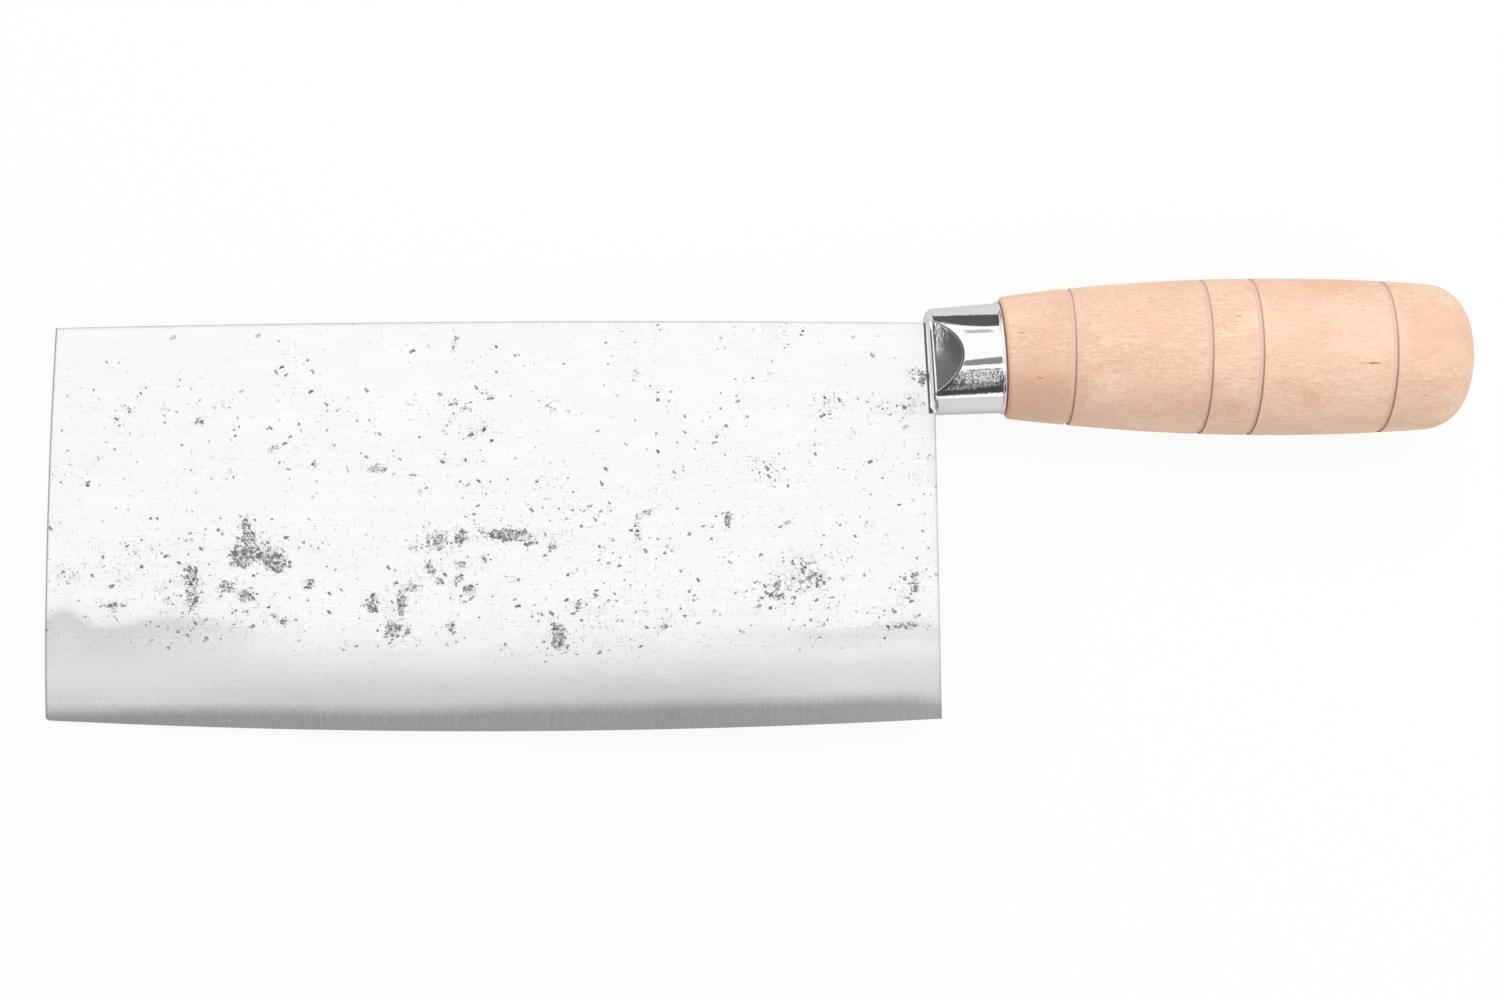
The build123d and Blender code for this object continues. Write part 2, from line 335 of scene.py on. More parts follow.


# Patches of forge scale, placed where the photographed blade has them: the centre, the two
# half-widths and the strength
scale_patches = (
    (-170.9, -41, 1.2, 1.1, 1.1), (-170.1, -44.2, 1.5, 1.3, 1.2), (-171.6, -49.1, 2.6, 2.2, 1.2),
    (-163.4, -50.5, 2.9, 2.6, 1), (-167.5, -48, 6, 3, 0.35), (-155.5, -47, 4, 1, 0.5),
    (-154.9, -55.7, 1.4, 1.2, 1), (-170.6, -58.4, 1.6, 1.4, 1), (-175.5, -56.5, 2, 1.5, 0.8),
    (-161.5, -64.8, 1, 0.9, 0.9), (-184, -53.5, 2, 2.6, 0.7), (-183.5, -59, 1.5, 3, 0.5),
    (-139.9, -60.4, 1.6, 1.9, 0.9), (-132.6, -60.6, 1, 3.2, 1), (-135, -67, 1.7, 2, 1),
    (-131.2, -67.4, 0.9, 0.9, 1.2), (-129.4, -46.4, 1.6, 1.2, 0.6), (-124.2, -45.2, 2.5, 1.9, 0.6),
    (-117.8, -44.5, 1.3, 1.9, 0.8), (-106.6, -43.9, 7.5, 1.4, 0.8), (-104, -43.6, 3, 1.2, 0.5),
    (-112.2, -49.8, 1.2, 1.8, 0.9), (-125.7, -51.8, 1.1, 2, 0.8), (-117.6, -51.1, 1.9, 1.2, 0.7),
    (-115.9, -57, 1.5, 1.3, 1.1), (-118.3, -54.3, 1.1, 0.9, 1.1), (-123.2, -55, 0.9, 0.8, 1.1),
    (-129.9, -56.5, 1.7, 1, 0.8), (-120.5, -66, 1.4, 1.2, 0.9), (-95.5, -46.2, 0.9, 0.9, 1),
    (-93.8, -68.3, 1.3, 3, 1), (-89.4, -60.9, 0.9, 0.9, 0.9), (-74.6, -42.5, 1, 5, 0.7),
    (-68, -66, 1.3, 1, 0.9), (-119.6, 2.9, 1.2, 3.2, 0.8), (-109, 2.9, 2.5, 1.6, 0.4),
    (-123, -9, 1.3, 0.8, 0.8), (-119.5, -11.2, 2.2, 0.7, 0.7), (-116.4, -12.6, 1.8, 0.8, 0.9),
    (-111.5, -9.8, 2.2, 1.6, 0.8), (-115.2, -19.2, 0.9, 1.6, 0.8), (-112.5, -17.6, 0.7, 1.2, 0.8),
    (-138.5, -27.5, 3.4, 1.2, 1), (-163.8, -22.3, 1.7, 1.3, 0.8), (-182, -16, 1.5, 1.1, 1),
    (-176.8, -12.5, 1.8, 1.4, 0.4), (-190.8, -12.4, 0.9, 1.1, 0.7), (-200, -13, 2.2, 2.2, 0.4),
    (-174.8, -26.5, 1.6, 3, 0.4), (-153.9, -26.3, 0.8, 1.4, 0.7), (-129.9, -29, 1.8, 0.8, 0.7),
    (-128, -33, 0.7, 1.3, 0.7), (-123, -24.8, 2.5, 2, 0.4), (-117, -25.3, 1.5, 1, 0.5),
    (-96, -12.5, 2.2, 2.6, 0.55), (-71, -8, 5, 1.2, 0.4), (-47.5, -5.5, 3.2, 1.4, 0.5),
    (-84, -24.5, 3, 1.2, 0.45), (-72, -38, 1, 1, 0.8), (-15, -13, 3, 2, 0.5),
    (-30, -12, 4, 3.5, 0.35), (-22, -19, 1.6, 2, 0.4), (-121, -14, 7, 4, 0.25),
    (-28, -12, 9, 7, 0.25), (-205.5, -20.4, 1.8, 1, 0.4), (-210, -29, 3, 2.6, 0.3),
    (-199.3, -29, 3, 2.6, 0.3), (-42.2, -4.4, 1.4, 1, 0.7), (-52.5, -40, 1, 1.6, 1.1),
    (-32.4, -54, 6.5, 5.5, 0.4), (-40, -58, 8, 3.5, 0.3), (-6.6, -54.5, 1.2, 3.4, 0.5),
    (-8.5, -66, 3, 1, 0.6), (-7.1, -3.7, 1.8, 0.9, 0.9), (-4.8, -5.4, 1.4, 2.2, 0.8),
    (-7.5, -12.5, 2.6, 3, 0.6), (-204.3, -60.9, 3.5, 1.2, 0.6), (-214, -55, 4, 4, 0.35),
)


# The scale between the patches: how much lies everywhere, how much more far below the spine,
# where it fades out by the bevel's border, and its wide and close waves
scale_everywhere = 0.16
scale_below_spine = 0.22
scale_below_reach = 70.0
scale_fade = (-6.0, 1.0)
scale_waves = ((0.030, 0.045, (0.0, 0.0, 7.0), 0.24), (0.11, 0.13, (0.0, 0.0, 2.0), 0.26))
patch_limit = 6.0  # past this square of its half-widths, a patch adds nothing


def scale_density(x, y):
    """How much forge scale is left at a place: little by the spine, most above the bevel."""
    below_spine = share_between(spine_at(x) - y, 0.0, scale_below_reach)
    density = scale_everywhere + scale_below_spine * below_spine
    density += sum(wave_at(wave, x, y) for wave in scale_waves)
    for patch_x, patch_y, reach_x, reach_y, strength in scale_patches:
        away = ((x - patch_x) / reach_x) ** 2 + ((y - patch_y) / reach_y) ** 2
        if away < patch_limit:
            density += strength * exp(-away)
    above_bevel = y - edge_at(x) - bevel_width_at(x)
    return density * share_between(above_bevel, *scale_fade)


sharp_angle = radians(38)  # steeper edges than this are drawn sharp
weld_distance = 1e-7  # in metres, points nearer than this are one


def add_object(name, data):
    """A new object in the scene."""
    added = bpy.data.objects.new(name, data)
    bpy.context.scene.collection.objects.link(added)
    return added


def new_object(name, points, faces, matrix, values=None):
    """A smooth mesh object, with its points placed in the frame from axes in millimetres."""
    mesh = bpy.data.meshes.new(name)
    mesh.from_pydata([matrix @ (Vector(point) * MM) for point in points], [], faces)
    for key, numbers in (values or {}).items():
        mesh.attributes.new(key, "FLOAT", "POINT").data.foreach_set("value", numbers)
    cleaner = bmesh.new()
    cleaner.from_mesh(mesh)
    bmesh.ops.remove_doubles(cleaner, verts=cleaner.verts, dist=weld_distance)
    bmesh.ops.dissolve_degenerate(cleaner, edges=cleaner.edges, dist=weld_distance / 10)
    bmesh.ops.recalc_face_normals(cleaner, faces=cleaner.faces)
    cleaner.to_mesh(mesh)
    cleaner.free()
    mesh.shade_smooth()
    mesh.set_sharp_from_angle(angle=sharp_angle)
    return add_object(name, mesh)


def finish_piece(piece, slot, material, *nodes):
    """Puts a piece on the body in place of its CAD nodes, with its material."""
    piece.data.materials.append(material)
    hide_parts(*nodes)
    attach(piece, "root")


def evenly(low, high, count):
    """Places from low up to but not including high."""
    return [low + (high - low) * index / count for index in range(count)]


# The blade's grid. A column is a share of the way from the tip to the heel. A row's level is
# 0 at the edge, 1 at the core line, 2 where the bevel starts, 3 and 4 at the tang's foot and
# top, and 5 at the spine.
arris_steps = (0.0, 0.05, 0.12, 0.22, 0.36, 0.6)
tip_shares = [step / blade_length for step in arris_steps]
heel_shares = [1 - share for share in reversed(tip_shares)]
blade_columns = tip_shares + evenly(0.004, 0.996, 196) + heel_shares
tang_columns = evenly(0.03, 1.0, 12) + [1.0]
top_levels = [4.3, 4.55, 4.75, 4.88, 4.95, 5.0]
core_levels = evenly(0.0, 1.0, 8) + evenly(1.0, 4.0, 9) + [4.0, 4.5, 5.0]
bevel_levels = evenly(1.0, 1.2, 8) + evenly(1.2, 2.0, 18)
cladding_levels = bevel_levels + evenly(2.0, 3.0, 52) + evenly(3.0, 4.0, 11) + [4.0] + top_levels
tang_top_fall = 3.0  # how far the grid's row at the tang's top falls towards the tip


def level_height(level, x):
    """The height of a row of the blade's grid at a place along the blade."""
    edge = edge_at(x)
    lines = (
        edge,
        edge + core_band_at(x),
        edge + bevel_width_at(x),
        -tang_root_height / 2,
        tang_root_height / 2 + tang_top_fall * min(x, 0.0) / blade_length,
        spine_at(x),
    )
    zone = min(int(level), len(lines) - 2)
    return lines[zone] + (lines[zone + 1] - lines[zone]) * (level - zone)


def grid_point(column, level):
    """Where a column and a row of the blade's grid cross."""
    x = blade_length * (column - 1)
    for _ in range(3):
        y = level_height(level, x)
        x = tip_at(y) + (heel_at(y) - tip_at(y)) * column
    return x, y


def tang_point(share, level):
    """A point of the tang: a share of its length, and a level from 3 at its foot to 4."""
    half = (tang_root_height + (tang_end_height - tang_root_height) * share) / 2
    return tang_length * share, half * (2 * (level - 3) - 1)


def blade_layer(name, levels, top, bottom):
    """A closed layer of the blade with its part of the tang, between two height functions."""
    far_side = name == "right_cladding"
    upper = []
    lower = []
    values = {}
    index = {}
    places = [(column, False) for column in blade_columns]
    places += [(column, True) for column in tang_columns]
    for i, (column, in_tang) in enumerate(places):
        for j, level in enumerate(levels):
            if in_tang and not 3 <= level <= 4:
                continue
            x, y = tang_point(column, level) if in_tang else grid_point(column, level)
            at_heel = not 3 <= level <= 4
            relief = neck_relief if in_tang else 0.0
            index[i, j] = len(upper)
            high = top(x, y, at_heel)
            low = bottom(x, y, at_heel)
            upper.append((x, y, min(high, half_thickness - relief)))
            lower.append((x, y, max(low, relief - half_thickness)))
            x = min(x, 0.0)
            looks = {
                "bevel": (y - edge_at(x)) / bevel_width_at(x),
                "above_core": y - edge_at(x) - core_band_at(x),
                "scale": scale_density(-blade_length - x if far_side else x, y),
                # the tone holds the satin finish and the bevel's painted reflection
                "tone": satin_and_reflection_at(x, y),
                "core_tone": linear(value_at(core_tones, x)),
                "rim_shade": 0.0 if in_tang else rim_shade_at(x, y),
                "far_side": float(far_side),
            }
            for key, number in looks.items():
                values.setdefault(key, []).append(number)
    count = len(upper)
    faces = []
    sides = []
    for i, j in index:
        corners = ((i, j), (i + 1, j), (i + 1, j + 1), (i, j + 1))
        if not all(corner in index for corner in corners):
            continue
        ring = [index[corner] for corner in corners]
        faces.append(ring)
        faces.append([count + point for point in reversed(ring)])
        sides += zip(ring, ring[1:] + ring[:1])
    inner = set(sides)
    for a, b in sides:
        if (b, a) not in inner:
            faces.append([count + a, count + b, b, a])
    values = {key: numbers * 2 for key, numbers in values.items()}
    return new_object(name, upper + lower, faces, KNIFE, values)


def tang_safe(height):
    """A height function of the blade that also serves along the tang."""
    return lambda x, y, at_heel: height(min(x, heel_at(y)), y, at_heel)


def mirrored(height):
    """The same height function on the other side of the blade's middle plane."""
    return lambda x, y, at_heel: -height(x, y, at_heel)


def build_blade(core_material, cladding_material):
    """The three layers of the blade."""
    surface = tang_safe(blade_surface)
    border = tang_safe(layer_border)
    core = blade_layer("core_layer", core_levels, border, mirrored(border))
    left = blade_layer("left_cladding", cladding_levels, surface, border)
    right = blade_layer("right_cladding", cladding_levels, mirrored(border), mirrored(surface))
    finish_piece(core, "core_steel", core_material, "blade_core")
    finish_piece(left, "cladding_steel", cladding_material, "cladding_left")
    finish_piece(right, "cladding_steel", cladding_material, "cladding_right")


# How many points the turned pieces have round their axis, and how many rings along their parts
ferrule_segments = 540
ferrule_front_rings = 12
ferrule_front_round_rings = 14
ferrule_wall_rings = 110
bead_rings = 18
ferrule_inner_rings = 24
handle_segments = 192
butt_face_rings = 6
butt_round_rings = 22
handle_body_rings = 84
groove_rings = 18
shoulder_rings = 8


def turned_object(name, rings, segments, point, matrix, ring_values=None):
    """A closed surface from rings, each placed at every angle by a point function."""
    angles = evenly(0.0, 2 * pi, segments)
    points = [point(ring, angle) for ring in rings for angle in angles]
    faces = []
    for row in range(len(rings) - 1):
        for step in range(segments):
            after = (step + 1) % segments
            low = row * segments
            high = low + segments
            faces.append((low + step, low + after, high + after, high + step))
    values = {}
    for key, value in (ring_values or {}).items():
        values[key] = [value(ring) for ring in rings for _ in range(segments)]
    return new_object(name, points, faces, matrix, values)


def ferrule_axes():
    """The ferrule's axes in the knife's: X along its tilted axis, zero at the shoulder."""
    centre = Vector((shoulder_place, -shoulder_drop, 0)) * MM
    return KNIFE @ Matrix.Translation(centre) @ Matrix.Rotation(ferrule_tilt, 4, "Z")


def soft_smaller(first, second, width):
    """The smaller of two numbers, rounded over where they meet."""
    near = max(width - abs(first - second), 0.0) / width
    return min(first, second) - near * near * width / 4


def ferrule_radius(along, angle, inset=0.0):
    """The radius of the ferrule's tapered wall with its two pressed flats."""
    wall = ferrule_rear_radius - taper * (ferrule_rear - along) - inset
    height = flat_end_height - (flat_end - along) * tan(side_flat_angle)
    to_front = min(max((flat_end - along) / side_flat_length, 0.0), 1.0)
    by_spine = smooth(0.5 + spine_side_turn * cos(angle))
    height += side_flat_ease * by_spine * to_front**2 * side_flat_length / 2
    height -= inset / cos(side_flat_angle)
    facing = max(sin(angle + side_flat_roll), -sin(angle - side_flat_roll), least_facing)
    flat = height / facing
    radius = soft_smaller(wall, flat, side_flat_crease)
    at_side = smooth(spine_side_turn * abs(sin(angle)) - flat_side_start)
    narrowed = (1 - flat_front_round_share) * at_side
    rounding = ferrule_front_round * (1 - narrowed) - inset
    reach = rounding - (along - ferrule_front - inset)
    if reach > 0:
        radius -= rounding - sqrt(max(rounding**2 - reach**2, 0.0))
    return radius


def ferrule_rings():
    """The rings from the middle of the front, over the outside and back inside."""
    rings = [(ferrule_front, "outer", share) for share in evenly(0.0, 1.0, ferrule_front_rings)]
    for angle in evenly(0.0, pi / 2, ferrule_front_round_rings):
        rings.append((ferrule_front + ferrule_front_round * (1 - cos(angle)), "outer", 1.0))
    bead_centre = ferrule_rear - bead_radius
    bead_start = pi - asin(bead_sink / bead_radius)
    bead_end = -pi / 3
    wall_end = bead_centre + bead_radius * cos(bead_start)
    wall_start = ferrule_front + ferrule_front_round
    wall_steps = evenly(wall_start, wall_end, ferrule_wall_rings)
    rings += [(along, "outer", 1.0) for along in wall_steps]
    centre_radius = ferrule_rear_radius - bead_sink
    for angle in evenly(bead_start, bead_end, bead_rings) + [bead_end]:
        along = bead_centre + bead_radius * cos(angle)
        rings.append((along, "bead", centre_radius + bead_radius * sin(angle)))
    inner_front = ferrule_front + ferrule_wall
    inner_steps = evenly(bead_centre, inner_front, ferrule_inner_rings) + [inner_front]
    rings += [(along, "inner", 1.0) for along in inner_steps]
    rings += [(inner_front, "inner", share) for share in (0.7, 0.4, 0.0)]
    return rings


def ferrule_point(ring, angle):
    """A point of a ferrule ring: X along the axis, Y to the spine, Z to the left."""
    along, kind, share = ring
    radius = share
    if kind == "outer":
        radius = share * ferrule_radius(along, angle)
    if kind == "inner":
        radius = share * ferrule_radius(along, angle, ferrule_wall)
    return along, radius * cos(angle), radius * sin(angle)


def cut_slot(piece):
    """Cuts the blade's slot through the ferrule's front and lower wall."""
    front = shoulder_place - ferrule_length - ferrule_rear_radius
    outline = (
        (front, heel_top[1] + slot_clearance),
        (heel_top[0] + slot_clearance, heel_top[1] + slot_clearance),
        (slot_clearance, heel_foot[1]),
        (front, heel_foot[1]),
    )
    points = [(x, y, -half_slot) for x, y in outline] + [(x, y, half_slot) for x, y in outline]
    faces = [(3, 2, 1, 0), (4, 5, 6, 7), (0, 1, 5, 4), (1, 2, 6, 5), (2, 3, 7, 6), (3, 0, 4, 7)]
    cutter = new_object("slot_cutter", points, faces, KNIFE)
    slot = piece.modifiers.new("slot", "BOOLEAN")
    slot.operation = "DIFFERENCE"
    slot.solver = "EXACT"
    slot.object = cutter
    bpy.context.view_layer.update()
    evaluated = piece.evaluated_get(bpy.context.evaluated_depsgraph_get())
    cut = bpy.data.meshes.new_from_object(evaluated)
    piece.modifiers.clear()
    piece.data = cut
    cut.shade_smooth()
    cut.set_sharp_from_angle(angle=sharp_angle)
    bpy.data.objects.remove(cutter)


def build_ferrule(material):
    """The pressed ferrule with its flats, slot and rounded lip."""
    ferrule = turned_object(
        "ferrule_shell", ferrule_rings(), ferrule_segments, ferrule_point, ferrule_axes()
    )
    cut_slot(ferrule)
    finish_piece(ferrule, "ferrule_steel", material, "ferrule")


def belly_at(place):
    """The handle's radius at a place measured from the shoulder, without the grooves."""
    away = place - belly_place
    return belly_radius - belly_arc_radius + sqrt(belly_arc_radius**2 - away**2)


def handle_radius(place):
    """The handle's radius with its rounded shoulder, grooves and butt."""
    radius = belly_at(place)
    for share in groove_place_shares:
        away = abs(place - share * handle_length)
        if away < groove_width / 2:
            cut = sqrt(groove_radius**2 - away**2) - (groove_radius - groove_depth)
            radius -= max(cut, 0.0)
    if place < shoulder_round:
        radius -= shoulder_round - sqrt(shoulder_round**2 - (shoulder_round - place) ** 2)
    to_butt = handle_length - place
    if to_butt < butt_round:
        radius -= butt_round - sqrt(max(butt_round**2 - (butt_round - to_butt) ** 2, 0.0))
    return radius


def groove_shares(place):
    """How far a place is in a groove's pale band of burnish and painted light, and in the brown
    line of painted shade along its rear side.
    """
    band = 0.0
    line = 0.0
    for share in groove_place_shares:
        away = 2 * (place - share * handle_length) / groove_width
        band = max(band, smooth((band_reach - abs(away)) / band_blur))
        line = max(line, smooth(1 - abs(away - line_place) / line_reach))
    return band, line


def handle_rings():
    """The rings from the middle of the butt, over the outside and into the bore."""
    rings = []
    face_radius = handle_radius(handle_length)
    for share in evenly(0.0, 1.0, butt_face_rings):
        rings.append((handle_length - butt_crown * share**2, face_radius * share))
    places = []
    for angle in evenly(0.0, pi / 2, butt_round_rings):
        places.append(handle_length - butt_round * (1 - cos(angle)))
    places[0] -= butt_crown
    places += evenly(handle_length - butt_round, shoulder_round, handle_body_rings)
    for share in groove_place_shares:
        centre = share * handle_length
        places += evenly(centre - groove_grid_reach, centre + groove_grid_reach, groove_rings)
    for angle in evenly(0.0, pi / 2, shoulder_rings) + [pi / 2]:
        places.append(shoulder_round * (1 - sin(angle)))
    rings += [(place, handle_radius(place)) for place in sorted(places, reverse=True)]
    rings.append((0.0, tenon_radius))
    rings.append((-tenon_length, tenon_radius - taper * tenon_length))
    rings += [(-tenon_length, bore_radius), (bore_depth, bore_radius), (bore_depth, 0.0)]
    return rings


def handle_point(ring, angle):
    """A point of a handle ring. The rings by the shoulder lean square to the ferrule."""
    place, radius = ring
    lean = tan(ferrule_tilt) * (1 - smooth(place / tilt_fade))
    y = radius * cos(angle) - shoulder_drop * (1 - smooth(place / tilt_fade))
    x = shoulder_place + place - lean * (y + shoulder_drop)
    return x, y, radius * sin(angle)


def build_handle(material):
    """The turned handle with its shoulder, grooves, rounded butt and hidden tenon."""
    values = {
        "groove_burnish_and_light": lambda ring: groove_shares(ring[0])[0] * (ring[1] > tenon_radius),
        "groove_shade_line": lambda ring: groove_shares(ring[0])[1] * (ring[1] > tenon_radius),
    }
    handle = turned_object(
        "turned_handle", handle_rings(), handle_segments, handle_point, KNIFE, values
    )
    finish_piece(handle, "maple", material, "handle")


usual_noise = (0.3, 0.7)  # where most of a noise's values lie


class Shader:
    """A node tree with short calls for the nodes that the materials here use."""

    def __init__(self, tree):
        tree.nodes.clear()
        self.tree = tree

    def node(self, kind, inputs=(), **settings):
        """Adds a node and gives its outputs. An input is a value or another node's output."""
        node = self.tree.nodes.new(kind)
        for key, value in settings.items():
            setattr(node, key, value)
        for key, value in dict(inputs).items():
            if isinstance(value, bpy.types.NodeSocket):
                self.tree.links.new(value, node.inputs[key])
            else:
                node.inputs[key].default_value = value
        return node.outputs

    def math(self, operation, *values, clamp=False):
        inputs = enumerate(values)
        return self.node("ShaderNodeMath", inputs, operation=operation, use_clamp=clamp)[0]

    def times(self, first, second, plus=0.0):
        """The product of two numbers, and a third one added to it."""
        return self.math("MULTIPLY_ADD", first, second, plus)

    def over_limit(self, value, limit, sharpness):
        """0 where a value is under a limit, rising to 1 above it."""
        return self.math("MULTIPLY", self.math("SUBTRACT", value, limit), sharpness, clamp=True)

    def spread(self, value, low, high, to_low=0.0, to_high=1.0, kind="SMOOTHSTEP"):
        """Maps a range of a value to another range, and holds it at the ends."""
        inputs = {"Value": value, 1: low, 2: high, 3: to_low, 4: to_high}
        return self.node("ShaderNodeMapRange", inputs, interpolation_type=kind)[0]

    def from_noise(self, value, low, high):
        """Maps noise to a range, evenly between its usual least and most."""
        return self.spread(value, *usual_noise, low, high, "LINEAR")

    def vector(self, operation, *values):
        return self.node("ShaderNodeVectorMath", enumerate(values), operation=operation)

    def length(self, vector):
        return self.vector("LENGTH", vector)["Value"]

    def parts(self, vector):
        return self.node("ShaderNodeSeparateXYZ", {0: vector})

    def local(self, vector, centre, units, turn=(0, 0, 0)):
        """A place in axes of their own: where they start, how long their units are, their turn."""
        inputs = {"Vector": vector, "Location": centre, "Scale": units, "Rotation": turn}
        return self.node("ShaderNodeMapping", inputs, vector_type="TEXTURE")[0]

    def place(self):
        """The place on a piece, in millimetres in the knife's own axes."""
        in_metres = self.node("ShaderNodeTexCoord")["Object"]
        return self.local(in_metres, KNIFE.translation, (MM, MM, MM), KNIFE.to_euler())

    def noise(self, vector, waves, detail=2.0, distortion=0.0, roughness=0.5):
        """Noise with so many waves to a millimetre, alike or of its own along each axis."""
        if isinstance(waves, tuple):
            vector = self.node("ShaderNodeMapping", {"Vector": vector, "Scale": waves})[0]
            waves = 1.0
        inputs = {
            "Vector": vector,
            "Scale": waves,
            "Detail": detail,
            "Distortion": distortion,
            "Roughness": roughness,
        }
        return self.node("ShaderNodeTexNoise", inputs)[0]

    def value(self, name):
        """A number that the mesh holds at its points."""
        return self.node("ShaderNodeAttribute", attribute_name=name)["Fac"]

    def mix(self, share, first, second, blend="MIX"):
        """Mixes two colours."""
        inputs = {0: share, 6: first, 7: second}
        return self.node("ShaderNodeMix", inputs, data_type="RGBA", blend_type=blend)[2]

    def bump(self, height, depth, strength=0.5, normal=None):
        """The normal of a surface with relief of a depth in millimetres."""
        inputs = {"Height": height, "Distance": depth * MM, "Strength": strength}
        if normal:
            inputs["Normal"] = normal
        return self.node("ShaderNodeBump", inputs)[0]

    def glow(self, colour):
        return self.node("ShaderNodeEmission", {"Color": colour, "Strength": 1.0})[0]

    def finish(self, **inputs):
        """Ends the tree in a Principled surface."""
        named = {key.replace("_", " "): value for key, value in inputs.items()}
        surface = self.node("ShaderNodeBsdfPrincipled", named)[0]
        self.node("ShaderNodeOutputMaterial", {"Surface": surface})


def new_material(name):
    """An empty material and its shader."""
    material = bpy.data.materials.new(name)
    material.use_nodes = True
    return material, Shader(material.node_tree)


# Colours as screen values. Where there are two, the material goes from one to the other.
steel_colour = srgb(253, 255, 254)
rim_shade_colour = srgb(150, 151, 151)
scale_colours = (srgb(112, 112, 112), srgb(186, 186, 185))
contact_shadow_colour = srgb(96, 95, 95)
ferrule_colours = (srgb(250, 249, 251), srgb(254, 254, 255))
fold_reflection_colour = srgb(62, 61, 62)
maple_colours = (srgb(226, 183, 153), srgb(250, 217, 190))
maple_blush_colour = srgb(243, 199, 176)
maple_pore_colour = srgb(214, 160, 124)
maple_blotch_and_shade_colour = srgb(212, 166, 137)
maple_mark_colour = srgb(178, 104, 58)
maple_sheen_colour = srgb(255, 214, 200)
groove_burnish_and_light_colour = srgb(228, 197, 181)
groove_shade_line_colour = srgb(170, 117, 88)
resin_colours = (srgb(70, 58, 48), srgb(104, 88, 74))

# Roughness: of the cladding on its bevel and on its flat, with what lines and scale add to it,
# and of the others where they are smoothest and where they are roughest
cladding_roughness = (0.38, 0.26)
line_roughness = 0.06
scale_roughness = 0.25
core_roughness = (0.34, 0.46)
ferrule_roughness = (0.04, 0.09)
maple_roughness = (0.55, 0.68)
resin_roughness = (0.45, 0.7)

# How deep the fine relief is
cladding_depth = 0.03
core_depth = 0.02
pebble_depth = 0.06
scratch_depth = 0.004
fibre_depth = 0.03
pit_depth = 0.05


def brushed_lines(shader, place):
    """Fine lines along the blade, long ones and short ones, from 0 to 1."""
    long_lines = shader.noise(place, (0.012, 2.6, 0.5), 4.0)
    short_lines = shader.noise(place, (0.10, 7.0, 0.5))
    return shader.times(short_lines, 0.5, shader.times(long_lines, 0.5))


# Chips of forge scale: the length and width of the cells that hold one each, and their turn
chip_cells = ((1.90, 0.95, 0.45), (1.60, 0.90, -0.75), (1.10, 1.00, 0.0), (0.75, 0.60, 0.9))
chip_chances = (0.060, 0.20)  # the least that a cell has a chip, and how much density adds
chip_reaches = (0.15, 0.32)  # the least that a chip reaches in its cell, and what chance adds
chip_sharpness = 16.0

# Flakes of forge scale, where it lies close: the length and width of one, their turn, and the
# share of them that is left
flake_cells = ((0.85, 0.55, 0.30, 0.30), (0.40, 0.28, -0.50, 0.42))
flake_sharpness = 25.0
close_range = (1.24, 1.42)  # where ragged density starts to be close, and where it is fully so

# Faint strokes between them: how many to a millimetre along each axis, and how strong they are
faint_strokes = ((0.45, 2.4, 1.0), (2.4, 0.5, 1.0))
faint_limits = (0.71, -0.20)  # what noise has to pass, and how much density lowers that
faint_sharpness = 20.0
faint_strength = 0.38

chance_sharpness = 60.0
cell_depth = 60.0  # so deep that each face of the blade cuts one layer of cells
far_side_shift = 60.0  # the right face has other chips than the left one
outline_push = 0.8  # how far the chips' and flakes' outlines are pushed about
outline_waves = 1.9


def scale_cells(shader, place, length, width, turn, **settings):
    """How far a place is from the middle of its cell, and the cell's three chances."""
    place = shader.local(place, (0, 0, 0), (length, width, cell_depth), (0, 0, turn))
    cell = shader.node("ShaderNodeTexVoronoi", {"Vector": place, "Scale": 1.0}, **settings)
    return cell["Distance"], shader.node("ShaderNodeSeparateColor", {0: cell["Color"]})


def scale_chips(shader, place, density, length, width, turn):
    """Separate chips, more of them where the scale is dense, from 0 to 1."""
    away, chances = scale_cells(shader, place, length, width, turn, distance="CHEBYCHEV")
    present = shader.times(shader.times(density, chip_chances[1], chip_chances[0]), density)
    large = shader.times(chances["Green"], chances["Green"])
    reach = shader.times(large, chip_reaches[1], chip_reaches[0])
    inside = shader.over_limit(reach, away, chip_sharpness)
    shown = shader.over_limit(present, chances["Red"], chance_sharpness)
    return shader.times(inside, shown)


def scale_flakes(shader, place, close, length, width, turn, share):
    """Angular flakes side by side, each there by chance, from 0 to 1."""
    chances = scale_cells(shader, place, length, width, turn)[1]
    return shader.over_limit(shader.times(close, share), chances["Blue"], flake_sharpness)


def scale_marks(shader, place):
    """Where the chips, flakes and faint strokes of forge scale are, from 0 to 1."""
    density = shader.math("MAXIMUM", shader.value("scale"), 0.0)
    inputs = {"Vector": place, "Scale": outline_waves, "Detail": 2.0}
    pushes = shader.node("ShaderNodeTexNoise", inputs)["Color"]
    warped = shader.vector("MULTIPLY_ADD", pushes, (outline_push, outline_push, 0.0), place)[0]
    marks = 0.0
    for cells in chip_cells:
        marks = shader.math("MAXIMUM", marks, scale_chips(shader, warped, density, *cells))
    ragged = shader.times(shader.noise(place, 0.7, 3.0), 1.1, density)
    close = shader.spread(ragged, *close_range)
    for cells in flake_cells:
        marks = shader.math("MAXIMUM", marks, scale_flakes(shader, warped, close, *cells))
    for waves in faint_strokes:
        strokes = shader.noise(place, waves, 2.0, 0.5, 0.6)
        limit = shader.times(density, faint_limits[1], faint_limits[0])
        faint = shader.times(shader.over_limit(strokes, limit, faint_sharpness), faint_strength)
        marks = shader.math("MAXIMUM", marks, faint)
    return marks


